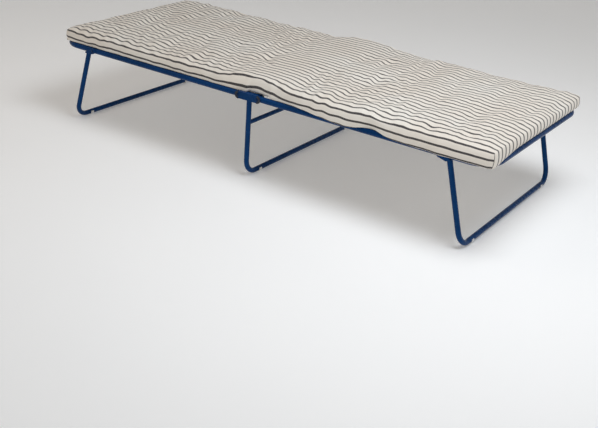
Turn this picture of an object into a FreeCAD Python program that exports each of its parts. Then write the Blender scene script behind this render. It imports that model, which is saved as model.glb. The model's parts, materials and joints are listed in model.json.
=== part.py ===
"""Folding cot: two hinged half frames on three U legs, with a spring deck and a striped pad.

Frame: millimetres. +X runs along the bed to the foot end, +Y across it, +Z up.
The origin is on the floor under the middle of the bed.

The head half lies at -X and the foot half at +X. Both halves pivot at the ends of two short
link channels, which also carry the middle leg. Every piece of the foot half is its head-half
twin turned half round about Z.
"""
import FreeCAD
import Part
import math
import os

Vec = FreeCAD.Vector

# ---- driving dimensions -------------------------------------------------------------------
RAIL_END = 940.0            # bed centre to the centreline of an end rail
RAIL_SIDE = 380.0           # bed centre to the centreline of a side rail
RAIL_Z = 313.0              # height of the rail centrelines
RAIL_DIAMETER = 22.0
RAIL_WALL = 1.5
RAIL_CORNER = 80.0          # centreline radius of the two closed corners

PIVOT_X = 41.0              # hinge pivots either side of the bed centre
LINK_WALL = 2.0
LINK_RADIUS = 13.5          # rounded ends of the link flanges
SIDE_GAP = 0.4              # running gap between a rail and the plates beside it
TOP_GAP = 0.5               # running gap between a rail and the link web

RIVET_RADIUS = 4.0
HOLE_RADIUS = 4.1
HEAD_RADIUS = 6.5
HEAD_HEIGHT = 2.6

LEG_DIAMETER = 19.0
LEG_WALL = 1.5
LEG_BEND = 55.0
LEG_PIVOT_X = 766.0         # rivets of the end legs
LEG_OFFSET = 27.0           # end-leg tube centreline to its rivet
LEG_SLANT = 15.5            # degrees that the end legs lean outwards
LEG_BAR_Z = 12.5            # height of the floor bars
CAP_DISTANCE = 21.7         # rivet to the top face of the bracket's cap plate, along the leg
BRACKET_WALL = 2.0
BRACKET_EYE = 12.0
STRETCHER_DROP = 100.0
STRETCHER_DIAMETER = 16.0

GLIDE_RADIUS = 7.0          # flat round base
GLIDE_HEIGHT = 7.0
GLIDE_WALL = 1.6            # saddle round the floor bar
GLIDE_GRIP = 4.0            # how far the saddle reaches above the bar's centreline
GLIDE_Y = RAIL_SIDE - 79.0

SPRING_ROWS = 8
SPRING_FIRST = 105.0        # bed centre to the first spring row of each half
SPRING_LAST = 840.0
SPRING_WIRE = 3.0
SPRING_WAVES = 11
SPRING_SPAN = RAIL_SIDE - 31.0   # half the width that the waves fill
SPRING_APEX = 72.0          # height of the sharp zigzag before its tips are rounded
SPRING_TIP = 12.0           # radius of the rounded tips
HOOK_Y = RAIL_SIDE - 19.0        # where the wire turns down into its lug
HOOK_DROP = 7.0
LUG_THICK = 2.0
LUG_HALF_WIDTH = 7.0
LUG_HOLE = 2.2

PAD_END = 948.0
PAD_SIDE = RAIL_SIDE + 5.0
PAD_TOP = RAIL_Z + 53.0
PAD_REST = RAIL_Z + 15.5    # underside of the pad where it passes over the rails
PAD_SEAT = RAIL_Z + 3.0     # underside of the pad on the springs
PAD_SEAT_END = 915.0
PAD_SEAT_SIDE = RAIL_SIDE - 21.0
PAD_SPLIT = 1.5             # half the gap between the two halves of the pad
PAD_CORNER = 45.0
PAD_SEAT_CORNER = 60.0
COVER_THICK = 1.5
FOAM_GAP = 0.2

STRAP_INNER = 12.0
STRAP_THICK = 2.5
STRAP_HALF_WIDTH = 9.0
STRAP_TAIL = 44.0
STRAP_HOOK_RADIUS = 8.0
STRAP_HOOK_THICK = 3.0
STRAP_HOOK_SHANK = 12.0

# ---- values that follow --------------------------------------------------------------------
RAIL_R = RAIL_DIAMETER / 2
LEG_R = LEG_DIAMETER / 2
PLATE_IN = RAIL_R + SIDE_GAP             # rail centreline to the inner face of a plate
PLATE_OUT = PLATE_IN + LINK_WALL
PIVOT = Vec(-PIVOT_X, 0, RAIL_Z)
LEG_PIVOT = Vec(-LEG_PIVOT_X, 0, RAIL_Z)
X_AXIS = Vec(1, 0, 0)
Y_AXIS = Vec(0, 1, 0)
Z_AXIS = Vec(0, 0, 1)


# ---- helpers -------------------------------------------------------------------------------
def write(name, shape):
    """Save one sub-part."""
    shape.exportStep(f"parts/{name}.step")


def group(shapes):
    """Separate solids that share one node."""
    return Part.makeCompound(shapes)


def to_foot(shape):
    """The foot-half twin of a head-half piece."""
    twin = shape.copy()
    twin.rotate(Vec(0, 0, 0), Z_AXIS, 180)
    return twin


def box(low, high):
    """An upright block between two corners."""
    size = high - low
    return Part.makeBox(size.x, size.y, size.z, low)


def rod(radius, start, end):
    """A plain round bar between two points."""
    return Part.makeCylinder(radius, (end - start).Length, start, end - start)


def bent_wire(points, radii):
    """Straight runs through the points, with a tangent arc at each inner one."""
    edges = []
    last = points[0]
    for before, corner, after, radius in zip(points, points[1:], points[2:], radii):
        u = (before - corner).normalize()
        v = (after - corner).normalize()
        half = u.getAngle(v) / 2
        reach = radius / math.tan(half)
        bisector = (u + v).normalize()
        middle = corner + bisector * (radius / math.sin(half) - radius)
        start = corner + u * reach
        end = corner + v * reach
        edges.append(Part.LineSegment(last, start).toShape())
        edges.append(Part.Arc(start, middle, end).toShape())
        last = end
    edges.append(Part.LineSegment(last, points[-1]).toShape())
    return Part.Wire(edges)


def bar_along(points, radii, radius):
    """A solid round bar bent along the points."""
    path = bent_wire(points, radii)
    ring = Part.Wire(Part.Circle(points[0], points[1] - points[0], radius).toShape())
    return path.makePipeShell([ring], True, False)


def tube_along(points, radii, diameter, wall):
    """A hollow round tube bent along the points."""
    outer = bar_along(points, radii, diameter / 2)
    inner = bar_along(points, radii, diameter / 2 - wall)
    return outer.cut(inner)


def across(radius, centre, y_low, y_high):
    """A round bar parallel to Y."""
    return rod(radius, Vec(centre.x, y_low, centre.z), Vec(centre.x, y_high, centre.z))


def rivet(centre, y, half_grip):
    """A rivet parallel to Y with a domed head on each side of its plates."""
    shank = across(RIVET_RADIUS, centre, y - half_grip, y + half_grip)
    ball = (HEAD_RADIUS ** 2 + HEAD_HEIGHT ** 2) / (2 * HEAD_HEIGHT)
    for side in (-1, 1):
        face = y + side * half_grip
        dome = Part.makeSphere(ball, Vec(centre.x, face - side * (ball - HEAD_HEIGHT), centre.z))
        slab = across(HEAD_RADIUS + 1, centre, min(face, face + side * HEAD_HEIGHT),
                      max(face, face + side * HEAD_HEIGHT))
        shank = shank.fuse(dome.common(slab))
    return shank.removeSplitter()


def rail_end_trim(y):
    """What is cut off a side rail so that its end is round about the hinge pivot."""
    block = box(Vec(PIVOT.x, y - RAIL_DIAMETER, RAIL_Z - RAIL_DIAMETER),
                Vec(PIVOT.x + RAIL_DIAMETER, y + RAIL_DIAMETER, RAIL_Z + RAIL_DIAMETER))
    return block.cut(across(RAIL_R, PIVOT, y - RAIL_DIAMETER, y + RAIL_DIAMETER))


# ---- half frames ----------------------------------------------------------------------------
def head_frame_tube():
    """The U-shaped rail tube of the head half, closed at the head end."""
    inner_end = PIVOT.x + RAIL_R
    points = [Vec(inner_end, -RAIL_SIDE, RAIL_Z), Vec(-RAIL_END, -RAIL_SIDE, RAIL_Z),
              Vec(-RAIL_END, RAIL_SIDE, RAIL_Z), Vec(inner_end, RAIL_SIDE, RAIL_Z)]
    tube = tube_along(points, [RAIL_CORNER] * 2, RAIL_DIAMETER, RAIL_WALL)
    for y in (-RAIL_SIDE, RAIL_SIDE):
        tube = tube.cut(rail_end_trim(y))
        for centre in (PIVOT, LEG_PIVOT):
            tube = tube.cut(across(HOLE_RADIUS, centre, y - RAIL_DIAMETER, y + RAIL_DIAMETER))
    return tube


def head_rail_plugs():
    """Nylon plugs that close the hinge ends of the side rails."""
    plugs = []
    for y in (-RAIL_SIDE, RAIL_SIDE):
        plug = rod(RAIL_R - RAIL_WALL, Vec(PIVOT.x - 20, y, RAIL_Z), Vec(PIVOT.x + RAIL_R, y, RAIL_Z))
        plug = plug.cut(rail_end_trim(y))
        plugs.append(plug.cut(across(HOLE_RADIUS, PIVOT, y - RAIL_R, y + RAIL_R)))
    return group(plugs)


def spring_row_x(row):
    """Where a spring row of the head half lies, row 0 being next to the hinge."""
    pitch = (SPRING_LAST - SPRING_FIRST) / (SPRING_ROWS - 1)
    return -(SPRING_FIRST + row * pitch)


def head_spring(row):
    """One zigzag spring across the head half, hooked down into a lug at each end."""
    x = spring_row_x(row)
    half_wave = SPRING_SPAN / SPRING_WAVES
    lead = HOOK_Y - 6
    points = [Vec(x, -HOOK_Y, RAIL_Z - HOOK_DROP), Vec(x, -HOOK_Y, RAIL_Z), Vec(x, -lead, RAIL_Z)]
    radii = [3.0, 2.5]
    for tip in range(2 * SPRING_WAVES):
        side = 1 if (tip + row) % 2 == 0 else -1
        points.append(Vec(x + side * SPRING_APEX, -SPRING_SPAN + (tip + 0.5) * half_wave, RAIL_Z))
        radii.append(SPRING_TIP)
    points += [Vec(x, lead, RAIL_Z), Vec(x, HOOK_Y, RAIL_Z), Vec(x, HOOK_Y, RAIL_Z - HOOK_DROP)]
    radii += [2.5, 3.0]
    return bar_along(points, radii, SPRING_WIRE / 2)


def head_spring_lugs():
    """Small steel tabs welded inside the side rails, one for each spring end."""
    lugs = []
    top = RAIL_Z - SPRING_WIRE / 2 - 0.2
    for row in range(SPRING_ROWS):
        x = spring_row_x(row)
        for side in (-1, 1):
            start = Vec(x, side * HOOK_Y, top - LUG_THICK)
            lug = rod(LUG_HALF_WIDTH, start, start + Z_AXIS * LUG_THICK)
            near = min(side * HOOK_Y, side * RAIL_SIDE)
            far = max(side * HOOK_Y, side * RAIL_SIDE)
            lug = lug.fuse(box(Vec(x - LUG_HALF_WIDTH, near, top - LUG_THICK),
                               Vec(x + LUG_HALF_WIDTH, far, top)))
            lug = lug.cut(rod(LUG_HOLE, start - Z_AXIS, start + Z_AXIS * (LUG_THICK + 1)))
            rail = rod(RAIL_R, Vec(x - 20, side * RAIL_SIDE, RAIL_Z), Vec(x + 20, side * RAIL_SIDE, RAIL_Z))
            lugs.append(lug.cut(rail).removeSplitter())
    return group(lugs)


# ---- hinge links and the middle leg ----------------------------------------------------------
def hinge_channel(y):
    """One link channel: two flanges with round ends and a web on top between the pivots."""
    pivots = (Vec(-PIVOT_X, 0, RAIL_Z), Vec(PIVOT_X, 0, RAIL_Z))
    web_low = RAIL_Z + RAIL_R + TOP_GAP
    channel = box(Vec(-PIVOT_X, y - PLATE_OUT, web_low), Vec(PIVOT_X, y + PLATE_OUT, RAIL_Z + LINK_RADIUS))
    for side in (-1, 1):
        low = min(y + side * PLATE_IN, y + side * PLATE_OUT)
        high = low + LINK_WALL
        flange = box(Vec(-PIVOT_X, low, RAIL_Z - LINK_RADIUS), Vec(PIVOT_X, high, RAIL_Z + LINK_RADIUS))
        for pivot in pivots:
            flange = flange.fuse(across(LINK_RADIUS, pivot, low, high))
        channel = channel.fuse(flange)
    for pivot in pivots:
        channel = channel.cut(across(HOLE_RADIUS, pivot, y - RAIL_DIAMETER, y + RAIL_DIAMETER))
    return channel.removeSplitter()


def hinge_end_caps():
    """Half-moon plastic caps pushed over the round ends of the link flanges."""
    caps = []
    thick = 1.4
    for y in (-RAIL_SIDE, RAIL_SIDE):
        for side in (-1, 1):
            inside = y + side * PLATE_IN
            plate = y + side * PLATE_OUT
            skin = plate + side * thick
            for end in (-1, 1):
                pivot = Vec(end * PIVOT_X, 0, RAIL_Z)
                cap = across(LINK_RADIUS + thick, pivot, min(inside, skin), max(inside, skin))
                cap = cap.cut(across(LINK_RADIUS, pivot, min(inside, plate), max(inside, plate)))
                cap = cap.cut(across(HEAD_RADIUS + 0.3, pivot, y - RAIL_DIAMETER, y + RAIL_DIAMETER))
                inner_half = box(Vec(min(0, pivot.x), y - RAIL_DIAMETER, RAIL_Z - RAIL_DIAMETER),
                                 Vec(max(0, pivot.x), y + RAIL_DIAMETER, RAIL_Z + RAIL_DIAMETER))
                caps.append(cap.cut(inner_half))
    return group(caps)


def hinge_rivets():
    """The four pivots between the half frames and the link channels."""
    return group([rivet(Vec(x, 0, RAIL_Z), y, PLATE_OUT)
                  for x in (-PIVOT_X, PIVOT_X) for y in (-RAIL_SIDE, RAIL_SIDE)])


def middle_leg_tube():
    """The upright U leg in the middle, welded under the webs of the link channels."""
    top = RAIL_Z + RAIL_R + TOP_GAP
    points = [Vec(0, -RAIL_SIDE, top), Vec(0, -RAIL_SIDE, LEG_BAR_Z),
              Vec(0, RAIL_SIDE, LEG_BAR_Z), Vec(0, RAIL_SIDE, top)]
    return tube_along(points, [LEG_BEND] * 2, LEG_DIAMETER, LEG_WALL)


def middle_leg_stretcher():
    """The cross tube that braces the middle leg, with its ends coped to the leg."""
    z = RAIL_Z - STRETCHER_DROP
    start = Vec(0, -RAIL_SIDE, z)
    end = Vec(0, RAIL_SIDE, z)
    bar = rod(STRETCHER_DIAMETER / 2, start, end)
    bar = bar.cut(rod(STRETCHER_DIAMETER / 2 - LEG_WALL, start, end))
    for foot in (start, end):
        bar = bar.cut(rod(LEG_R, foot - Z_AXIS * 30, foot + Z_AXIS * 30))
    return bar


# ---- end legs --------------------------------------------------------------------------------
def leg_point(out, down, y):
    """A point of the head leg from its rivet: out from the bed, and down along the leg."""
    slant = math.radians(LEG_SLANT)
    x = LEG_PIVOT.x - out * math.cos(slant) - down * math.sin(slant)
    z = RAIL_Z + out * math.sin(slant) - down * math.cos(slant)
    return Vec(x, y, z)


def leg_length():
    """Rivet to floor-bar centreline, along the leg."""
    slant = math.radians(LEG_SLANT)
    return (RAIL_Z + LEG_OFFSET * math.sin(slant) - LEG_BAR_Z) / math.cos(slant)


def head_leg_tube():
    """The slanted U leg at the head end."""
    top = CAP_DISTANCE + BRACKET_WALL
    points = [leg_point(LEG_OFFSET, top, -RAIL_SIDE), leg_point(LEG_OFFSET, leg_length(), -RAIL_SIDE),
              leg_point(LEG_OFFSET, leg_length(), RAIL_SIDE), leg_point(LEG_OFFSET, top, RAIL_SIDE)]
    return tube_along(points, [LEG_BEND] * 2, LEG_DIAMETER, LEG_WALL)


def head_leg_bracket(y):
    """Pressed bracket: two cheeks beside the rail and a cap plate that stops under it."""
    low = CAP_DISTANCE + BRACKET_WALL
    near = LEG_OFFSET - LEG_R - 0.5
    far = LEG_OFFSET + LEG_R + 0.5

    def plate(outline, y_low, y_high):
        corners = [leg_point(out, down, y_low) for out, down in outline]
        face = Part.Face(Part.makePolygon(corners + corners[:1]))
        return face.extrude(Vec(0, y_high - y_low, 0))

    shoulder = BRACKET_EYE * math.sqrt(0.5)
    cheek = [(-shoulder, shoulder), (near, low), (far, low), (far, CAP_DISTANCE), (shoulder, -shoulder)]
    cap = [(near, CAP_DISTANCE), (near, low), (far, low), (far, CAP_DISTANCE)]
    bracket = plate(cap, y - PLATE_OUT, y + PLATE_OUT)
    for side in (-1, 1):
        y_low = min(y + side * PLATE_IN, y + side * PLATE_OUT)
        y_high = y_low + BRACKET_WALL
        bracket = bracket.fuse(plate(cheek, y_low, y_high))
        bracket = bracket.fuse(across(BRACKET_EYE, LEG_PIVOT, y_low, y_high))
    hole = across(HOLE_RADIUS, LEG_PIVOT, y - RAIL_DIAMETER, y + RAIL_DIAMETER)
    return bracket.cut(hole).removeSplitter()


def head_leg_rivets():
    """The rivets that the head leg swings on."""
    return group([rivet(LEG_PIVOT, y, PLATE_OUT) for y in (-RAIL_SIDE, RAIL_SIDE)])


def glides(bar_x):
    """The two plastic feet of a floor bar: a saddle clipped round the tube, on a flat round base."""
    centre = Vec(bar_x, 0, LEG_BAR_Z)
    bar = across(LEG_R, centre, -RAIL_SIDE, RAIL_SIDE)
    top = LEG_BAR_Z + GLIDE_GRIP
    feet = []
    for y in (-GLIDE_Y, GLIDE_Y):
        saddle = across(LEG_R + GLIDE_WALL, centre, y - GLIDE_RADIUS, y + GLIDE_RADIUS)
        saddle = saddle.cut(box(Vec(bar_x - LEG_DIAMETER, y - LEG_DIAMETER, top),
                                Vec(bar_x + LEG_DIAMETER, y + LEG_DIAMETER, top + LEG_DIAMETER)))
        base = rod(GLIDE_RADIUS, Vec(bar_x, y, 0), Vec(bar_x, y, GLIDE_HEIGHT))
        feet.append(saddle.fuse(base).cut(bar).removeSplitter())
    return group(feet)


# ---- pad -------------------------------------------------------------------------------------
def pad_slab(end, side, z_low, z_high, corner, split):
    """A flat block of the head half of the pad, with its two outer corners rounded."""
    block = box(Vec(-end, -side, z_low), Vec(-split, side, z_high))
    upright = [e for e in block.Edges
               if e.Length < 100 and abs(e.BoundBox.XMin + end) < 0.01 and e.BoundBox.XLength < 0.01
               and e.BoundBox.YLength < 0.01]
    return block.makeFillet(corner, upright)


def head_pad(inset):
    """The head half of the pad with every face moved in by inset."""
    split = PAD_SPLIT + inset
    upper = pad_slab(PAD_END - inset, PAD_SIDE - inset, PAD_REST + inset, PAD_TOP - inset,
                     PAD_CORNER - inset, split)
    seat = pad_slab(PAD_SEAT_END - inset, PAD_SEAT_SIDE - inset, PAD_SEAT + inset,
                    PAD_REST + inset, PAD_SEAT_CORNER - inset, split)
    return upper.fuse(seat).removeSplitter()


# ---- closing strap ---------------------------------------------------------------------------
def strap_band():
    """A rubber strap that loops round the head end rail and hangs outside it."""
    centre = Vec(-RAIL_END, 0, RAIL_Z)
    outer = STRAP_INNER + STRAP_THICK
    loop = across(outer, centre, -STRAP_HALF_WIDTH, STRAP_HALF_WIDTH)
    tail = box(Vec(-RAIL_END - outer, -STRAP_HALF_WIDTH, RAIL_Z - STRAP_TAIL),
               Vec(-RAIL_END - STRAP_INNER, STRAP_HALF_WIDTH, RAIL_Z))
    band = loop.fuse(tail)
    return band.cut(across(STRAP_INNER, centre, -STRAP_HALF_WIDTH, STRAP_HALF_WIDTH)).removeSplitter()


def strap_hook():
    """The moulded hook on the end of the strap, which catches the other end rail when folded."""
    outer_x = -RAIL_END - STRAP_INNER - STRAP_THICK
    low = RAIL_Z - STRAP_TAIL
    centre = Vec(outer_x + STRAP_HOOK_RADIUS, 0, low - STRAP_HOOK_SHANK)
    width = STRAP_HALF_WIDTH - 2
    ring = across(STRAP_HOOK_RADIUS, centre, -width, width)
    ring = ring.cut(across(STRAP_HOOK_RADIUS - STRAP_HOOK_THICK, centre, -width, width))
    upper = box(Vec(outer_x - 1, -width, centre.z), Vec(outer_x + 3 * STRAP_HOOK_RADIUS, width, low))
    shank = box(Vec(outer_x, -width, centre.z), Vec(outer_x + STRAP_HOOK_THICK, width, low))
    return ring.cut(upper).fuse(shank).removeSplitter()


# ---- assembly --------------------------------------------------------------------------------
def main():
    os.makedirs("parts", exist_ok=True)
    twins = {
        "frame_tube": head_frame_tube(),
        "rail_plugs": head_rail_plugs(),
        "spring_lugs": head_spring_lugs(),
        "leg_tube": head_leg_tube(),
        "leg_rivets": head_leg_rivets(),
        "leg_feet": glides(leg_point(LEG_OFFSET, leg_length(), 0).x),
        "pad_cover": head_pad(0).cut(head_pad(COVER_THICK)),
        "pad_foam": head_pad(COVER_THICK + FOAM_GAP),
    }
    for row in range(SPRING_ROWS):
        twins[f"spring_{row + 1}"] = head_spring(row)
    for name, shape in twins.items():
        write(f"head_{name}", shape)
        write(f"foot_{name}", to_foot(shape))
    for side, y in (("near", -RAIL_SIDE), ("far", RAIL_SIDE)):
        write(f"hinge_channel_{side}", hinge_channel(y))
        write(f"head_leg_bracket_{side}", head_leg_bracket(y))
        write(f"foot_leg_bracket_{side}", to_foot(head_leg_bracket(-y)))
    write("hinge_end_caps", hinge_end_caps())
    write("hinge_rivets", hinge_rivets())
    write("middle_leg_tube", middle_leg_tube())
    write("middle_leg_stretcher", middle_leg_stretcher())
    write("middle_leg_feet", glides(0))
    write("strap_band", strap_band())
    write("strap_hook", strap_hook())


main()
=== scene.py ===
"""Looks of the folding cot: ticking pad, enamelled tubes, springs, plastics, lights and camera.

Lengths are metres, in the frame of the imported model: +X to the foot end, +Z up. The pad is one
fabric surface over a lattice, wrinkled by a cloth simulation and then cut into the two halves
that ride on the two half frames.
"""
import math
import json

import bmesh
import bpy
import numpy as np
from mathutils import Matrix, Vector, noise


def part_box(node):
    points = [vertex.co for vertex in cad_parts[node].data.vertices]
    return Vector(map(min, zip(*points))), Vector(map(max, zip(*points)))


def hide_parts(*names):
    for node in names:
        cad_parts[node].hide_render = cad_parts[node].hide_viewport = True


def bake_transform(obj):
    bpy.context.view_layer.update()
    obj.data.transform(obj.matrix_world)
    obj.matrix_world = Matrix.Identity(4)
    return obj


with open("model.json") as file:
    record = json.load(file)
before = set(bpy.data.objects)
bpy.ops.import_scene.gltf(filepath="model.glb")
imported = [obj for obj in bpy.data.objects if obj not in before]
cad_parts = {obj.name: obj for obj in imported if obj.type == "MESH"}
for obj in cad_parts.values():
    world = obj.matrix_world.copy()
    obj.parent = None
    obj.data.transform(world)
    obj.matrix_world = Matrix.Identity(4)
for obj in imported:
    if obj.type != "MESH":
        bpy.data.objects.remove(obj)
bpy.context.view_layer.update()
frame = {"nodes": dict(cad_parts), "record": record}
NODES = frame["nodes"]

# ---- places read from the frame ------------------------------------------------------------
RAIL_LOW, RAIL_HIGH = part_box("foot_frame_tube")
RAIL_R = (RAIL_HIGH.z - RAIL_LOW.z) / 2
RAIL_Z = (RAIL_HIGH.z + RAIL_LOW.z) / 2
RAIL_Y = RAIL_HIGH.y - RAIL_R
PAD_LOW, PAD_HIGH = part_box("foot_pad_cover")
BRACKET_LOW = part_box("foot_leg_bracket_near")[0]
BRACKET_EYE = 0.012                # radius of a bracket's inner end, which is round its leg's pivot
LEG_PIVOT_X = BRACKET_LOW.x + BRACKET_EYE

# ---- pad sizes -------------------------------------------------------------------------------
CELLS_X, CELLS_Y, CELLS_Z = 260, 80, 6
END_INSET = 0.002                  # the ends start this far inside the CAD solid, and belly out
EDGE_HEIGHT = 0.0405               # of the pad's edge, where it lies on top of a rail
HEAD_END_SHORT = 0.006             # the head end stops this much sooner than the foot end
PAD_HALF_LENGTH = PAD_HIGH.x - END_INSET
PAD_HALF_WIDTH = PAD_HIGH.y
PAD_TOP = PAD_HIGH.z
PAD_REST = PAD_HIGH.z - EDGE_HEIGHT
PAD_SEAT = PAD_LOW.z               # underside on the springs
SIDE_HEIGHT = 0.042                # cloth down a side, laid flat
SIDE_HANG = 0.020                  # more of it where the near edge hangs over its rail
STRIPES = 27                       # stripe spaces across the top
STRIPE_PITCH = 2 * PAD_HALF_WIDTH / STRIPES
STRIPE_WIDTH = 0.0078
STRIPE_STRAY = 0.0011              # how far the ragged edge of a stripe strays
STRIPE_SOFT = 0.00025              # half the width over which it fades out
END_SQUEEZE = 0.995                # of the stripes on the end faces
THREAD_ALONG, THREAD_ACROSS = 0.0011, 0.0009    # pitches of the weave


# ---- node helpers ----------------------------------------------------------------------------
def new_material(name):
    """An empty node material with its Principled shader."""
    material = bpy.data.materials.new(name)
    material.use_nodes = True
    tree = material.node_tree
    return material, tree, tree.nodes["Principled BSDF"]


def add_node(tree, kind, inputs=None, **settings):
    """A node with its settings; an input is a value or another node's socket."""
    node = tree.nodes.new(kind)
    for key, value in settings.items():
        setattr(node, key, value)
    for key, value in (inputs or {}).items():
        socket = node.inputs[key]
        if isinstance(value, bpy.types.NodeSocket):
            tree.links.new(value, socket)
        else:
            socket.default_value = value
    return node


def math_node(tree, operation, a, b=0.0, c=0.0):
    """One Math node; returns its output socket."""
    node = add_node(tree, "ShaderNodeMath", {0: a, 1: b, 2: c}, operation=operation)
    return node.outputs[0]


def mix_color(tree, factor, a, b):
    """A blend of two colours; returns its output socket."""
    return add_node(tree, "ShaderNodeMix", {0: factor, 6: a, 7: b}, data_type="RGBA").outputs[2]


def ramp(tree, value, low, high, to_low=0.0, to_high=1.0):
    """A clamped, smooth map of one range to another; returns its output socket."""
    inputs = {"Value": value, "From Min": low, "From Max": high, "To Min": to_low, "To Max": to_high}
    node = add_node(tree, "ShaderNodeMapRange", inputs, interpolation_type="SMOOTHSTEP")
    return node.outputs["Result"]


def noise_value(tree, vector, scale, detail=2.0, roughness=0.5):
    """Noise of a scale in cycles per metre; returns its value socket."""
    inputs = {"Vector": vector, "Scale": scale, "Detail": detail, "Roughness": roughness}
    return add_node(tree, "ShaderNodeTexNoise", inputs).outputs["Fac"]


def bump(tree, shader, height, distance, strength=1.0):
    """Bump from a height between 0 and 1 that stands for the distance given."""
    inputs = {"Height": height, "Distance": distance, "Strength": strength}
    node = add_node(tree, "ShaderNodeBump", inputs)
    tree.links.new(node.outputs["Normal"], shader.inputs["Normal"])


def object_place(tree):
    """The socket that gives a point's place in metres."""
    return add_node(tree, "ShaderNodeTexCoord").outputs["Object"]


def rgb(red, green, blue):
    """An opaque colour."""
    return (red, green, blue, 1.0)


# ---- materials -------------------------------------------------------------------------------
def enamel(name, base, worn, roughness, scuffs):
    """Glossy stoved enamel on steel, with orange peel, dulled patches and small scuffs."""
    material, tree, shader = new_material(name)
    place = object_place(tree)
    cloud = noise_value(tree, place, 9.0, 3.0)
    peel = noise_value(tree, place, 900.0, 1.0)
    grime = noise_value(tree, place, 55.0, 5.0, 0.65)
    chips = noise_value(tree, place, 210.0, 3.0, 0.7)
    tone = mix_color(tree, ramp(tree, cloud, 0.3, 0.7), rgb(*base), rgb(*[1.35 * c for c in base]))
    scuff = math_node(tree, "MULTIPLY", ramp(tree, grime, 0.62, 0.72), ramp(tree, chips, 0.56, 0.66))
    scuff = math_node(tree, "MULTIPLY", scuff, scuffs)
    tree.links.new(mix_color(tree, scuff, tone, rgb(*worn)), shader.inputs["Base Color"])
    rough = ramp(tree, grime, 0.35, 0.7, roughness, roughness + 0.16)
    rough = math_node(tree, "ADD", rough, math_node(tree, "MULTIPLY", scuff, 0.3))
    tree.links.new(rough, shader.inputs["Roughness"])
    shader.inputs["Specular IOR Level"].default_value = 0.13
    shader.inputs["IOR"].default_value = 1.5
    shader.inputs["Specular Tint"].default_value = rgb(0.55, 0.75, 1.0)
    bump(tree, shader, peel, 0.00003, 0.4)
    return material


def ticking():
    """Cotton ticking: cream twill with thin dark stripes that follow the cloth."""
    material, tree, shader = new_material("ticking")
    cloth = add_node(tree, "ShaderNodeUVMap", uv_map="cloth").outputs["UV"]
    place = object_place(tree)
    across = add_node(tree, "ShaderNodeSeparateXYZ", {0: cloth})
    along_m, across_m = across.outputs["X"], across.outputs["Y"]
    ragged = noise_value(tree, cloth, 260.0, 3.0, 0.6)
    slow = noise_value(tree, cloth, 7.0, 2.0)
    turns = math_node(tree, "DIVIDE", across_m, STRIPE_PITCH)
    positive = math_node(tree, "ADD", turns, 1000.0)
    phase = math_node(tree, "SUBTRACT", math_node(tree, "FRACT", positive), 0.5)
    off_centre = math_node(tree, "MULTIPLY", math_node(tree, "ABSOLUTE", phase), STRIPE_PITCH)
    edge = math_node(tree, "MULTIPLY_ADD", ragged, STRIPE_STRAY, (STRIPE_WIDTH - STRIPE_STRAY) / 2)
    inside = math_node(tree, "SUBTRACT", edge, off_centre)
    stripe = ramp(tree, inside, -STRIPE_SOFT, STRIPE_SOFT)
    faded = math_node(tree, "MULTIPLY", stripe, ramp(tree, ragged, 0.2, 0.8, 1.0, 0.86))
    dull = noise_value(tree, place, 3.2, 3.0)
    cream = mix_color(tree, ramp(tree, dull, 0.3, 0.7), rgb(0.825, 0.755, 0.67), rgb(0.87, 0.83, 0.76))
    cream = mix_color(tree, ramp(tree, slow, 0.35, 0.75, 0.0, 0.35), cream, rgb(0.765, 0.69, 0.595))
    dye = mix_color(tree, slow, rgb(0.007, 0.006, 0.014), rgb(0.018, 0.014, 0.018))
    tree.links.new(mix_color(tree, faded, cream, dye), shader.inputs["Base Color"])
    shader.inputs["Roughness"].default_value = 0.88
    shader.inputs["Sheen Weight"].default_value = 0.22
    shader.inputs["Sheen Roughness"].default_value = 0.5
    shader.inputs["Specular IOR Level"].default_value = 0.25
    warp = math_node(tree, "SINE", math_node(tree, "MULTIPLY", along_m, 2 * math.pi / THREAD_ALONG))
    weft = math_node(tree, "SINE", math_node(tree, "MULTIPLY", across_m, 2 * math.pi / THREAD_ACROSS))
    weave = math_node(tree, "MULTIPLY_ADD", math_node(tree, "MULTIPLY", warp, weft), 0.35, ragged)
    bump(tree, shader, weave, 0.0003, 0.55)
    return material


def plastic(name, base, roughness, grain, coat=0.0):
    """Moulded plastic or rubber with a fine grain and faint handling marks."""
    material, tree, shader = new_material(name)
    place = object_place(tree)
    marks = noise_value(tree, place, 120.0, 4.0, 0.6)
    fine = noise_value(tree, place, 1400.0, 1.0)
    tone = mix_color(tree, ramp(tree, marks, 0.35, 0.75), rgb(*base), rgb(*[0.72 * c for c in base]))
    tree.links.new(tone, shader.inputs["Base Color"])
    rough = ramp(tree, marks, 0.3, 0.7, roughness - 0.06, roughness + 0.1)
    tree.links.new(rough, shader.inputs["Roughness"])
    shader.inputs["Coat Weight"].default_value = coat
    bump(tree, shader, fine, grain, 0.6)
    return material


def foam():
    """Open-cell foam, which is inside the cover."""
    material, tree, shader = new_material("foam")
    place = object_place(tree)
    cells = noise_value(tree, place, 800.0, 2.0)
    tone = mix_color(tree, cells, rgb(0.80, 0.72, 0.48), rgb(0.90, 0.84, 0.62))
    tree.links.new(tone, shader.inputs["Base Color"])
    shader.inputs["Roughness"].default_value = 0.95
    bump(tree, shader, cells, 0.0006)
    return material


def paper():
    """The pale floor."""
    material, tree, shader = new_material("paper_floor")
    place = object_place(tree)
    mottle = noise_value(tree, place, 2.0, 2.0)
    tone = mix_color(tree, mottle, rgb(0.90, 0.90, 0.90), rgb(0.93, 0.93, 0.925))
    tree.links.new(tone, shader.inputs["Base Color"])
    shader.inputs["Roughness"].default_value = 0.9
    shader.inputs["Emission Color"].default_value = rgb(1.0, 1.0, 1.0)
    shader.inputs["Emission Strength"].default_value = 0.15
    return material


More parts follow.
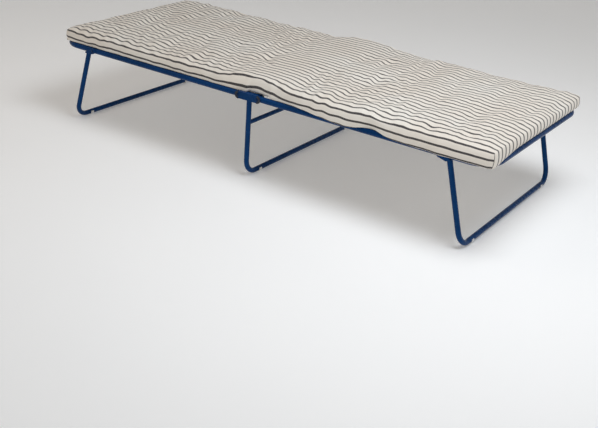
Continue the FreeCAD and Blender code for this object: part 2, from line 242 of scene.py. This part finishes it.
def paint_cad_nodes():
    """Gives every CAD node the finish of its material slot; returns the finishes."""
    finishes = {
        "blue_enamel": enamel("blue_enamel", (0.0014, 0.030, 0.112), (0.05, 0.09, 0.16), 0.22, 0.2),
        "spring_wire": enamel("spring_wire", (0.010, 0.024, 0.062), (0.20, 0.21, 0.23), 0.34, 0.6),
        "rivet_steel": enamel("rivet_enamel", (0.003, 0.020, 0.070), (0.24, 0.25, 0.27), 0.30, 0.9),
        "cap_black": plastic("cap_black", (0.004, 0.010, 0.030), 0.45, 0.0001),
        "glide_white": plastic("glide_white", (0.84, 0.84, 0.82), 0.32, 0.00005, 0.2),
        "strap_rubber": plastic("strap_rubber", (0.014, 0.014, 0.014), 0.62, 0.0002),
        "hook_black": plastic("hook_black", (0.016, 0.016, 0.018), 0.36, 0.00006, 0.2),
        "ticking": ticking(),
        "foam": foam(),
    }
    for part in frame["record"]["subparts"]:
        mesh = NODES[part["node"]].data
        mesh.materials.clear()
        mesh.materials.append(finishes[part["material_slot"]])
    return finishes


# ---- pad: lattice ----------------------------------------------------------------------------
def pad_lattice():
    """The surface points of a block of cells, as (i, j, k) rows, and its quads with their panels."""
    shape = (CELLS_X + 1, CELLS_Y + 1, CELLS_Z + 1)
    i, j, k = np.indices(shape)
    skin = (i % CELLS_X == 0) | (j % CELLS_Y == 0) | (k % CELLS_Z == 0)
    number = np.full(shape, -1)
    number[skin] = np.arange(skin.sum())
    points = np.stack([i[skin], j[skin], k[skin]], 1)
    quads, panels = [], []

    def add_panel(name, sheet, outward):
        """One quad for each four neighbours in a sheet of point numbers."""
        corners = [sheet[:-1, :-1], sheet[1:, :-1], sheet[1:, 1:], sheet[:-1, 1:]]
        faces = np.stack([c.ravel() for c in corners], 1)
        quads.append(faces if outward else faces[:, ::-1])
        panels.extend([name] * len(faces))

    add_panel("top", number[:, :, CELLS_Z], True)
    add_panel("bottom", number[:, :, 0], False)
    add_panel("near", number[:, 0, :], True)
    add_panel("far", number[:, CELLS_Y, :], False)
    add_panel("foot", number[CELLS_X, :, :], True)
    add_panel("head", number[0, :, :], False)
    return points, np.concatenate(quads), np.array(panels)


def unit_places(points):
    """How far each lattice point is along, across and up the pad: -1 to 1, -1 to 1 and 0 to 1."""
    return points[:, 0] / CELLS_X * 2 - 1, points[:, 1] / CELLS_Y * 2 - 1, points[:, 2] / CELLS_Z


def smooth_step(value, low, high):
    """0 below the low value, 1 above the high one, and smooth between them."""
    t = np.clip((value - low) / (high - low), 0.0, 1.0)
    return t * t * (3 - 2 * t)


def bell(value, centre, width):
    """A smooth bump of height 1 about the centre."""
    return np.exp(-((value - centre) / width) ** 2)


def cloth_noise(x, y, scale_x, scale_y, seed):
    """Smooth noise in about -1 to 1, at its own scale along and across."""
    return np.array([noise.noise(Vector((a * scale_x, b * scale_y, seed))) for a, b in zip(x, y)])


# ---- pad: cloth simulation -------------------------------------------------------------------
SIM_FRAMES = 16
EASE = 0.04                 # how much longer the cover is cut than the foam
WRINKLE_GAIN = 3.4          # the simulated wrinkles, deepened
WRINKLE_CAP = 0.012         # no point of the cover moves further than this


def simulated_wrinkles(points, quads):
    """Moves of the cover's points when a cover cut too long is held on a foam block."""
    u, v, w = unit_places(points)
    start = np.stack([u * PAD_HALF_LENGTH, v * PAD_HALF_WIDTH, PAD_REST + w * (PAD_TOP - PAD_REST)], 1)
    top = points[:, 2] == CELLS_Z
    start[top, 2] += 0.0015 * cloth_noise(start[top, 0], start[top, 1], 18, 4, 0.3)
    start[top, 2] += 0.0010 * cloth_noise(start[top, 0], start[top, 1], 40, 9, 3.3)
    mesh = bpy.data.meshes.new("cover_sim")
    mesh.from_pydata(start.tolist(), [], quads.tolist())
    cover = bpy.data.objects.new("cover_sim", mesh)
    bpy.context.scene.collection.objects.link(cover)
    cover.shape_key_add(name="Basis")
    cut = cover.shape_key_add(name="cut")
    longer = start * np.array([1 + EASE, 1.005, 1.0])
    cut.data.foreach_set("co", longer.ravel())
    cut.value = 0.0
    held = cover.vertex_groups.new(name="held")
    base = points[:, 2] == 0
    held.add(np.flatnonzero(base).tolist(), 1.0, "REPLACE")
    held.add(np.flatnonzero(~base).tolist(), 0.02, "REPLACE")
    modifier = cover.modifiers.new("Cloth", "CLOTH")
    cloth = modifier.settings
    cloth.rest_shape_key = cut
    cloth.vertex_group_mass = "held"
    cloth.quality = 5
    cloth.mass = 0.25
    cloth.tension_stiffness = 25
    cloth.compression_stiffness = 25
    cloth.shear_stiffness = 8
    cloth.bending_stiffness = 20
    cloth.tension_damping = 15
    cloth.compression_damping = 15
    cloth.shear_damping = 15
    cloth.bending_damping = 2
    cloth.air_damping = 4
    cloth.use_pressure = True
    cloth.uniform_pressure_force = 0.2
    cloth.effector_weights.gravity = 0
    modifier.collision_settings.use_collision = False
    modifier.point_cache.frame_start = 1
    modifier.point_cache.frame_end = SIM_FRAMES
    scene = bpy.context.scene
    scene.frame_start = 1
    scene.frame_end = SIM_FRAMES
    for step in range(1, SIM_FRAMES + 1):
        scene.frame_set(step)
    settled = cover.evaluated_get(bpy.context.evaluated_depsgraph_get()).to_mesh()
    ends = np.zeros(len(settled.vertices) * 3, np.float32)
    settled.vertices.foreach_get("co", ends)
    moves = ends.reshape(-1, 3) - start
    moves[top, 2] += start[top, 2] - PAD_TOP
    scene.frame_set(1)
    bpy.data.objects.remove(cover)
    return moves


def relax(values, quads, rounds):
    """Averages each point with its neighbours along the quads' edges."""
    edges = np.concatenate([quads[:, [0, 1]], quads[:, [1, 2]], quads[:, [2, 3]], quads[:, [3, 0]]])
    count = np.bincount(edges.ravel(), minlength=len(values)).reshape(-1, 1)
    for _ in range(rounds):
        total = np.zeros_like(values)
        for axis in range(3):
            total[:, axis] = (np.bincount(edges[:, 0], values[edges[:, 1], axis], len(values))
                              + np.bincount(edges[:, 1], values[edges[:, 0], axis], len(values)))
        values = 0.5 * values + 0.5 * total / count
    return values


# ---- pad: resting shape ----------------------------------------------------------------------
# Broad folds across the pad: place along the bed, height, half width, lean across the bed.
FOLDS = [(-0.70, 0.0025, 0.040, 0.05), (-0.52, 0.0030, 0.045, -0.04), (-0.36, 0.0035, 0.040, 0.06),
         (-0.21, 0.0050, 0.045, 0.05), (-0.075, -0.0040, 0.035, 0.03), (0.035, 0.0085, 0.055, 0.06),
         (0.155, -0.0050, 0.040, 0.05), (0.235, 0.0065, 0.045, 0.07), (0.335, -0.0035, 0.035, 0.06),
         (0.405, 0.0055, 0.045, 0.08), (0.53, 0.0030, 0.045, 0.05), (0.66, 0.0025, 0.045, -0.04),
         (0.80, 0.0020, 0.040, 0.03)]
# Small pinched places on the top, as (x, y).
DIMPLES = [(-0.62, -0.29), (-0.53, -0.325), (-0.47, 0.02), (-0.30, -0.335),
           (-0.11, -0.13), (-0.05, -0.19), (0.04, -0.205), (0.31, -0.30),
           (0.43, -0.27), (0.70, -0.335), (0.83, -0.315), (-0.80, -0.22)]
CROWN = 0.0030              # how much the top rises towards its middle
HUMP_HEIGHT = 0.019         # of the bulge over the hinge
HIGHEST_RISE = 0.0195       # no part of the pad stands higher than this above its CAD solid
FOOT_NEAR_CORNER, HEAD_NEAR_CORNER, FAR_CORNER = 0.012, 0.045, 0.025
WAIST_IN = 0.006            # how far the sides draw in on the head half
HUMP_IN = 0.022             # and the near side beside the hump
EDGE_ROUND = 0.009
EDGE_DROP = 0.42 * EDGE_ROUND
SIDE_BELLY, CORNER_BELLY, END_BELLY = 0.0045, 0.003, 0.0055
SKIN = 0.006                # thickness of the pad's edge where it hangs over a rail
HANGS = 0.02                # an edge that overhangs by more than this is wrapped round its rail
WRAP = math.radians(8)      # how far past level a full overhang reaches round the rail
HANG_IN = 0.010             # a hanging edge draws in no further than this
RAIL_GAP = 0.0015           # between the hanging edge and the rail
BRACKET_GAP = 0.0045        # more of it beside the leg brackets
CHANNEL_LIFT = 0.0040       # of the underside, over the link channels
TOE_DROP = 0.020            # of the foot end, at its near corner
LEDGE_INSET = 0.020         # the underside leaves a rail this far inside the rail's middle
SEAT_INSET = 0.028          # and is down on the springs this far inside it
END_SEAT, END_LEDGE = 0.065, 0.035  # at the ends it climbs between these distances from the end


def overhang(x):
    """How far the near edge hangs over its rail: 0 rests on top, 1 covers most of the rail's side."""
    amount = 0.10 + 0.9 * smooth_step(x, 0.15, 0.40) - 0.10 * bell(x, 0.04, 0.10)
    return np.clip(amount - 0.95 * bell(x, 0.505, 0.055), 0.0, 1.0)


def hump(x, v):
    """The bulge over the hinge, 0 to 1: steep towards the head end, long towards the foot end."""
    x = x - 0.02 * v
    return smooth_step(x, -0.14, -0.01) * (1 - smooth_step(x, 0.0, 0.27)) * (0.72 + 0.28 * v ** 2)


def held_down(rise):
    """A rise above the CAD solid, kept smoothly under the highest that is allowed."""
    return np.where(rise > 0, rise / (1 + (np.abs(rise) / HIGHEST_RISE) ** 6) ** (1 / 6), rise)


def rail_gap(x):
    """Clearance that the hanging edge keeps from the rail, more beside the leg brackets."""
    return RAIL_GAP + BRACKET_GAP * (bell(x, LEG_PIVOT_X, 0.035) + bell(x, -LEG_PIVOT_X, 0.035))


def rest_height(x):
    """Underside of the pad over the rails, raised over the link channels."""
    return PAD_REST + CHANNEL_LIFT * (smooth_step(x, -0.10, -0.06) - smooth_step(x, 0.06, 0.10))


def fold_height(x, y):
    """The broad folds, each wandering a little and fading in places."""
    total = np.zeros_like(x)
    for place, height, width, lean in FOLDS:
        wander = 0.018 * cloth_noise(x, y, 3.0, 5.0, place * 7 + 11)
        fade = 0.65 + 0.5 * cloth_noise(x, y, 1.5, 3.5, place * 13 + 29)
        total += height * fade * bell(x + lean * y + wander, place, width)
    return total


def ridged(x, y, scale_x, scale_y, seed):
    """Noise with narrow crests, about -0.4 to 0.6, that run the way in which its scale is small."""
    level = cloth_noise(x, y, scale_x, scale_y, seed)
    return 0.6 - np.minimum(2.2 * np.sqrt(level ** 2 + 0.0009), 1.0)


def liveliness(x):
    """How loose the ticking is: the foot half, past the fold, is pulled flatter."""
    return 1.0 - 0.50 * smooth_step(x, 0.30, 0.56)


def crease_height(x, y):
    """Creases where the loose ticking has bunched up, deepest on the head half, and the pinches."""
    skew = x + 0.10 * y + 0.060 * cloth_noise(x, y, 2.6, 3.4, 21.0)
    broad = 0.0068 * ridged(skew, y, 8.5, 2.3, 31.0)
    narrow = 0.0076 * ridged(skew + 0.3 * y, y, 24.0, 4.5, 41.0)
    pinched = sum(0.0050 * np.exp(-((x - a) ** 2 + (y - b) ** 2) / 0.016 ** 2) for a, b in DIMPLES)
    return liveliness(x) * (broad + narrow) - pinched


def round_corners(x, y, u, near, length, edge):
    """Rounds the corners of the plan; returns also which points are in them and their scale."""
    radius = np.where(near, np.where(u > 0, FOOT_NEAR_CORNER, HEAD_NEAR_CORNER), FAR_CORNER)
    reach_x = np.abs(x) - (length - radius)
    reach_y = np.abs(y) - (edge - radius)
    corner = (reach_x > 0) & (reach_y > 0)
    shrink = np.ones_like(x)
    shrink[corner] = np.maximum(reach_x, reach_y)[corner] / np.hypot(reach_x, reach_y)[corner]
    x = np.where(corner, np.sign(x) * (length - radius + reach_x * shrink), x)
    y = np.where(corner, np.sign(y) * (edge - radius + reach_y * shrink), y)
    return x, y, corner, shrink


def top_height(x, y, u, v, bulge, inset):
    """The top: crowned a little, folded, and rounded off towards its edges."""
    folds = fold_height(x, y) + crease_height(x, y)
    crown = CROWN * (1 - v ** 2) * (1 - u ** 6) + HUMP_HEIGHT * bulge
    depth = np.clip(1 - inset / EDGE_ROUND, 0, 1)
    shoulder = EDGE_DROP * (1 - np.sqrt(1 - depth ** 2 * 0.96))
    return PAD_TOP + crown + folds * (0.35 + 0.65 * smooth_step(inset, 0.0, 0.05)) - shoulder


def hang_turn(over):
    """The angle round the rail, from level outwards, at which the pad's edge ends."""
    return math.pi / 2 * (1 - over) - WRAP * over


def bottom_edge(x, y, u, v, over, edge):
    """The bottom edge's place across and height: on top of a rail, or round its outside."""
    near = v < 0
    turn = hang_turn(over)
    gap = rail_gap(x)
    edge_y = np.where(over > HANGS, RAIL_Y + (RAIL_R + gap + SKIN) * np.cos(turn), edge)
    edge_y = np.maximum(edge_y, PAD_HALF_WIDTH - HANG_IN)
    edge_z = np.where(over > HANGS, RAIL_Z + (RAIL_R + gap) * np.sin(turn), rest_height(x))
    edge_z = np.minimum(edge_z, rest_height(x))
    droop = (0.0022 * cloth_noise(x, y, 14, 2, 5.5) + 0.0015 * cloth_noise(x, y, 37, 2, 2.5)) * near
    toe = smooth_step(u, 0.0, 1.0) * smooth_step(-v, 0.45, 0.98) * (np.abs(u) >= 1)
    return edge_y, np.where(np.abs(v) >= 1, edge_z + droop, rest_height(x) - TOE_DROP * toe)


def tuck_under(points, x, y, z, side, over, edge):
    """Moves the underside: round the rail, then down on to the springs."""
    row = np.minimum(points[:, 1], CELLS_Y - points[:, 1])
    inside = (points[:, 2] == 0) & (points[:, 0] > 0) & (points[:, 0] < CELLS_X)
    hung = over > HANGS
    rest = rest_height(x)
    turn = hang_turn(over)
    half_turn = (turn + math.pi / 2) / 2
    inner_r = RAIL_R + rail_gap(x)
    outer_rows = []
    for angle, flat_inset in ((turn, 0.006), (half_turn, 0.012)):
        round_y = np.where(hung, RAIL_Y + inner_r * np.cos(angle), edge - flat_inset)
        round_z = np.where(hung, np.minimum(RAIL_Z + inner_r * np.sin(angle), rest), rest)
        outer_rows.append((round_y, round_z))
    rows = outer_rows + [(RAIL_Y - LEDGE_INSET, rest - 0.001), (RAIL_Y - SEAT_INSET, PAD_SEAT + 0.001)]
    for number, (row_y, row_z) in enumerate(rows, 1):
        here = inside & (row == number)
        y = np.where(here, side * row_y, y)
        z = np.where(here, row_z, z)
    deep = inside & (row > len(rows))
    spread = (CELLS_Y / 2 - row) / (CELLS_Y / 2 - len(rows))
    y = np.where(deep, side * (RAIL_Y - SEAT_INSET) * spread, y)
    near_end = smooth_step(np.abs(x), PAD_HALF_LENGTH - END_SEAT, PAD_HALF_LENGTH - END_LEDGE)
    z = np.where(deep, PAD_SEAT + (rest - PAD_SEAT) * near_end, z)
    return y, z


def pad_points(points, wrinkles):
    """Where the lattice points lie when the pad lies on the bed."""
    u, v, w = unit_places(points)
    side = np.sign(v)
    near = v < 0
    length = np.where(u > 0, PAD_HALF_LENGTH, PAD_HALF_LENGTH - HEAD_END_SHORT)
    x = u * length
    over = np.where(near, overhang(x), 0.0)
    bulge = hump(x, v)
    edge = PAD_HALF_WIDTH - WAIST_IN * bell(x, -0.2, 0.25) - HUMP_IN * bulge * near
    inset = np.minimum((1 - np.abs(v)) * edge, (1 - np.abs(u)) * length)
    x, y, corner, shrink = round_corners(x, v * edge, u, near, length, edge)
    top = top_height(x, y, u, v, bulge, inset)
    low_y, low_z = bottom_edge(x, y, u, v, over, edge)
    z = low_z + w * (top - low_z)

    # the sides and ends belly out between their top and bottom edges
    belly = np.sin(np.pi * w) * (1 - w * 0.3)
    on_side = np.abs(v) >= 1
    lean = (low_y - edge) * (1 - w) ** 0.8
    y = np.where(on_side & ~corner, side * (np.abs(y) + lean + SIDE_BELLY * belly), y)
    y = np.where(on_side & corner, side * (np.abs(y) + 0.6 * lean * shrink + CORNER_BELLY * belly), y)
    x = np.where(np.abs(u) >= 1, x + np.sign(u) * END_BELLY * belly, x)
    y, z = tuck_under(points, x, y, z, side, over, edge)

    placed = np.stack([x, y, z], 1)
    gain = np.where(w == 0, 0.0, WRINKLE_GAIN)
    gain *= 0.55 + 0.45 * smooth_step(inset + w * 0.01, 0.0, 0.03)
    placed += np.clip(wrinkles * gain[:, None], -WRINKLE_CAP, WRINKLE_CAP)
    placed[:, 2] = PAD_TOP + held_down(placed[:, 2] - PAD_TOP)
    return placed


def cloth_coordinates(points, quads, panels):
    """Each quad corner's place on the flat cloth: along, and across with the sides let down."""
    u, v, w = unit_places(points)
    along = u * PAD_HALF_LENGTH
    flat = v * PAD_HALF_WIDTH
    side_height = np.where(v < 0, SIDE_HEIGHT + SIDE_HANG * overhang(along), SIDE_HEIGHT)
    fall = (1 - w) * side_height
    drift = 0.0050 * cloth_noise(along, flat, 7, 3, 8.8)
    drift += 0.0056 * cloth_noise(along, flat, 24, 6, 9.9)
    drift *= liveliness(along)
    across = flat + drift
    corner_along = along[quads]
    corner_across = across[quads]
    corner_across[(panels == "foot") | (panels == "head")] *= END_SQUEEZE
    on_side = (panels == "near") | (panels == "far")
    corner_across[on_side] += (np.sign(v) * fall)[quads][on_side]
    return np.stack([corner_along, corner_across], 2)


def pad_mesh():
    """The whole pad, subdivided once, with its cloth coordinates and a mark on the foot half."""
    points, quads, panels = pad_lattice()
    moves = simulated_wrinkles(points, quads)
    placed = pad_points(points, relax(moves, quads, 2))
    mesh = bpy.data.meshes.new("pad")
    mesh.from_pydata(placed.tolist(), [], quads.tolist())
    layer = mesh.uv_layers.new(name="cloth")
    layer.data.foreach_set("uv", cloth_coordinates(points, quads, panels).ravel())
    foot = mesh.attributes.new("foot_half", "INT", "FACE")
    foot.data.foreach_set("value", (points[quads, 0].mean(1) > CELLS_X / 2).astype(np.int32))
    pad = bpy.data.objects.new("pad", mesh)
    bpy.context.scene.collection.objects.link(pad)
    smooth = pad.modifiers.new("Subdivision", "SUBSURF")
    smooth.levels = 1
    smooth.uv_smooth = "PRESERVE_BOUNDARIES"
    depsgraph = bpy.context.evaluated_depsgraph_get()
    fine = bpy.data.meshes.new_from_object(pad.evaluated_get(depsgraph), preserve_all_data_layers=True,
                                           depsgraph=depsgraph)
    bpy.data.objects.remove(pad)
    return fine


CUT_REACH = 0.03            # the closing faces of a half lie this near to the middle


def half_pad(whole, name, foot, material):
    """One half of the pad, closed where it meets the other, with the whole pad's shading."""
    normals = [vertex.normal.copy() for vertex in whole.vertices]
    work = bmesh.new()
    work.from_mesh(whole)
    mark = work.faces.layers.int["foot_half"]
    tag = work.verts.layers.int.new("whole")
    for vertex in work.verts:
        vertex[tag] = vertex.index
    others = [face for face in work.faces if face[mark] != foot]
    bmesh.ops.delete(work, geom=others, context="FACES")
    rim = [edge for edge in work.edges if edge.is_boundary]
    cap = bmesh.ops.holes_fill(work, edges=rim, sides=len(rim))["faces"]
    bmesh.ops.triangulate(work, faces=cap)
    mesh = bpy.data.meshes.new(name)
    work.normal_update()
    work.to_mesh(mesh)
    sources = [vertex[tag] for vertex in work.verts]
    work.free()
    mesh.polygons.foreach_set("use_smooth", [True] * len(mesh.polygons))
    corner_normals = []
    for polygon in mesh.polygons:
        flat = abs(polygon.normal.x) > 0.9 and abs(polygon.center.x) < CUT_REACH
        for index in polygon.vertices:
            corner_normals.append(polygon.normal.copy() if flat else normals[sources[index]])
    mesh.normals_split_custom_set(corner_normals)
    mesh.materials.append(material)
    half = bpy.data.objects.new(name, mesh)
    bpy.context.scene.collection.objects.link(half)
    return half


def make_pad(material):
    """Both halves of the pad, cut from the one wrinkled pad, with the CAD pad covers and foam hidden.
    """
    whole = pad_mesh()
    head = half_pad(whole, "head_pad", 0, material)
    foot = half_pad(whole, "foot_pad", 1, material)
    bpy.data.meshes.remove(whole)
    for half, end in ((head, "head"), (foot, "foot")):
        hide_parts(f"{end}_pad_cover", f"{end}_pad_foam")
    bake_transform(head)
    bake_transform(foot)


# ---- stage -----------------------------------------------------------------------------------
CAMERA_PLACE = (1.970, -3.067, 1.444)
FLOOR_RADIUS = 7.0          # of the flat floor, before it curves up
CURVE_RADIUS = 5.0
WALL_HEIGHT = 9.0


def add_camera():
    """Looks down on the near long side from beyond the foot end, tilted a little."""
    yaw, pitch, roll = math.radians(-32.68), math.radians(25.41), math.radians(4.30)
    flat = math.cos(pitch)
    forward = Vector((math.sin(yaw) * flat, math.cos(yaw) * flat, -math.sin(pitch)))
    level = Vector((math.cos(yaw), -math.sin(yaw), 0))
    upright = level.cross(forward)
    right = math.cos(roll) * level + math.sin(roll) * upright
    up = math.cos(roll) * upright - math.sin(roll) * level
    data = bpy.data.cameras.new("camera")
    data.sensor_width = 36.0
    data.lens = 58.9
    camera = bpy.data.objects.new("camera", data)
    axes = Matrix((right, up, -forward)).transposed()
    camera.matrix_world = Matrix.Translation(CAMERA_PLACE) @ axes.to_4x4()
    bpy.context.scene.collection.objects.link(camera)
    bpy.context.scene.camera = camera
    bpy.context.scene.view_settings.view_transform = "Standard"


def add_area(name, place, target, size, power, color):
    """A square soft light."""
    data = bpy.data.lights.new(name, "AREA")
    data.size = size
    data.energy = power
    data.color = color
    light = bpy.data.objects.new(name, data)
    light.location = place
    light.rotation_euler = (Vector(target) - Vector(place)).to_track_quat("-Z", "Y").to_euler()
    bpy.context.scene.collection.objects.link(light)


def add_stage():
    """A pale floor that curves up all round, an even surround and two soft lights from above."""
    profile = [(0.0, 0.0), (FLOOR_RADIUS, 0.0)]
    for angle in np.linspace(0.1, math.pi / 2, 12):
        height = CURVE_RADIUS - CURVE_RADIUS * math.cos(angle)
        profile.append((FLOOR_RADIUS + CURVE_RADIUS * math.sin(angle), height))
    profile.append((FLOOR_RADIUS + CURVE_RADIUS, WALL_HEIGHT))
    work = bmesh.new()
    rim = [work.verts.new((radius, 0, height)) for radius, height in profile]
    edges = [work.edges.new(pair) for pair in zip(rim, rim[1:])]
    bmesh.ops.spin(work, geom=rim + edges, cent=(0, 0, 0), axis=(0, 0, 1), steps=64, angle=2 * math.pi)
    bmesh.ops.remove_doubles(work, verts=work.verts, dist=0.0001)
    bmesh.ops.recalc_face_normals(work, faces=work.faces)
    mesh = bpy.data.meshes.new("floor")
    work.to_mesh(mesh)
    work.free()
    mesh.polygons.foreach_set("use_smooth", [True] * len(mesh.polygons))
    floor = bpy.data.objects.new("floor", mesh)
    bpy.context.scene.collection.objects.link(floor)
    mesh.materials.append(paper())
    world = bpy.data.worlds.new("surround")
    world.use_nodes = True
    background = world.node_tree.nodes["Background"]
    background.inputs["Color"].default_value = rgb(1.0, 0.95, 0.885)
    background.inputs["Strength"].default_value = 0.21
    bpy.context.scene.world = world
    # a cool key light over the foot half, and a weak warm fill over the head half
    add_area("key", (1.15, -0.4, 2.4), (0.55, 0, 0.35), 1.4, 38, (0.95, 1.0, 1.06))
    add_area("fill", (-1.6, -0.9, 2.2), (-0.7, 0, 0.35), 1.8, 5, (1.0, 0.80, 0.60))


add_camera()
finishes = paint_cad_nodes()
make_pad(finishes["ticking"])
add_stage()
